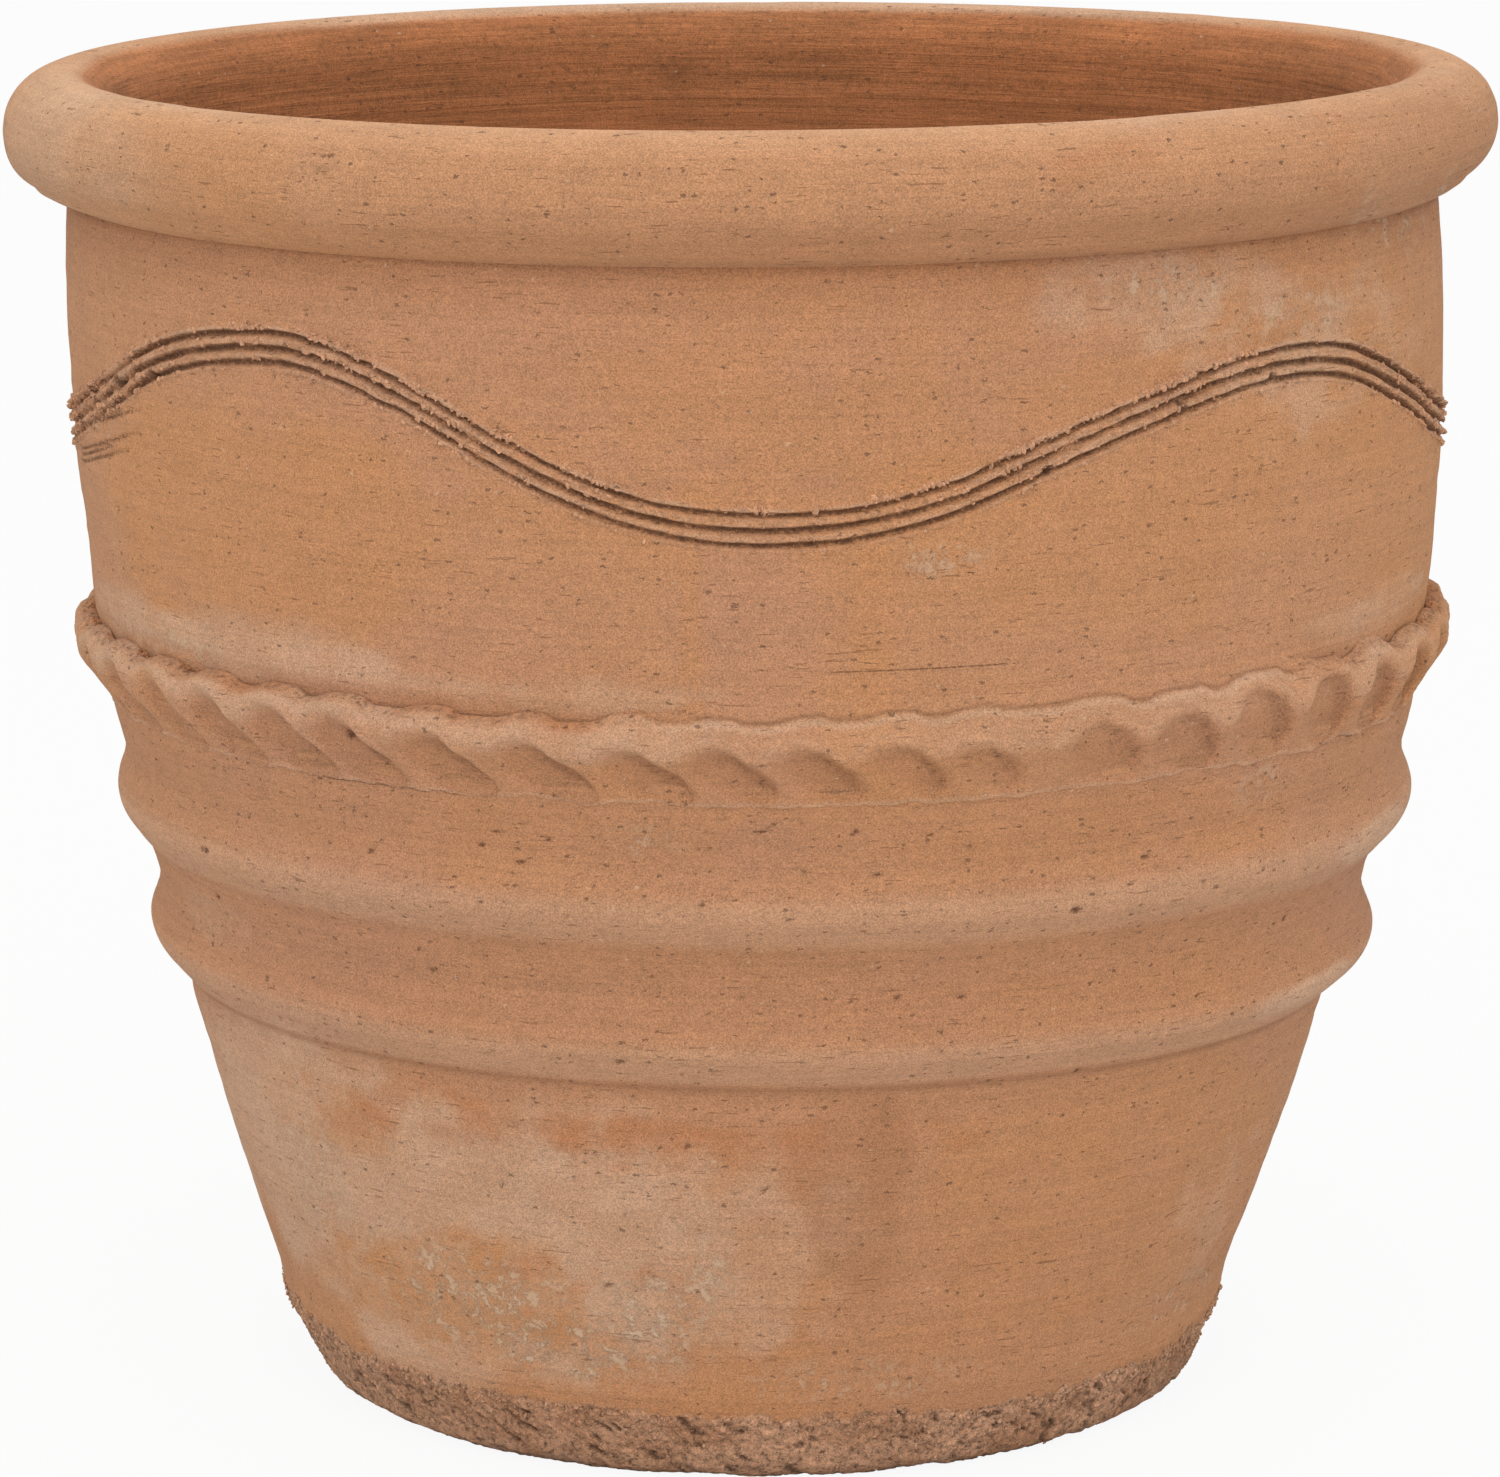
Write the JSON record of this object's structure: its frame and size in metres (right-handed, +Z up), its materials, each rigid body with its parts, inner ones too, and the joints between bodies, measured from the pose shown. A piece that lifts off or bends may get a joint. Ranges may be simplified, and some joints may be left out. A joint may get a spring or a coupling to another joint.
{
  "type": "terracotta pithos planter",
  "caption": "Wide-mouthed terracotta pithos planter with a rolled rim, combed wave, thumb-pressed rope band and plain bands, tapering to a rough flat foot with a drain hole.",
  "frame": {"origin": "middle of the flat face that the pot stands on", "axes": "+Z up along the axis on which the pot was turned, -Y towards the viewer of the front"},
  "size_m": [0.5, 0.4998, 0.452],
  "materials": {
    "foot_clay": "unglazed terracotta, rough scraped foot",
    "inner_clay": "unglazed terracotta, thrown inside face",
    "wall_clay": "unglazed terracotta, fine throwing lines",
    "band_clay": "unglazed terracotta, smoothed by hand",
    "rim_clay": "unglazed terracotta, smoothed with a wet cloth"
  },
  "bodies": {
    "root": {"base_slab": "foot_clay", "floor_corner_coil": "inner_clay", "lower_wall": "wall_clay", "lower_plain_band": "band_clay", "waist_wall": "wall_clay", "upper_plain_band": "band_clay", "shoulder_wall": "wall_clay", "rope_band": "band_clay", "upper_wall": "wall_clay", "rim_roll": "rim_clay"}
  },
  "joints": []
}
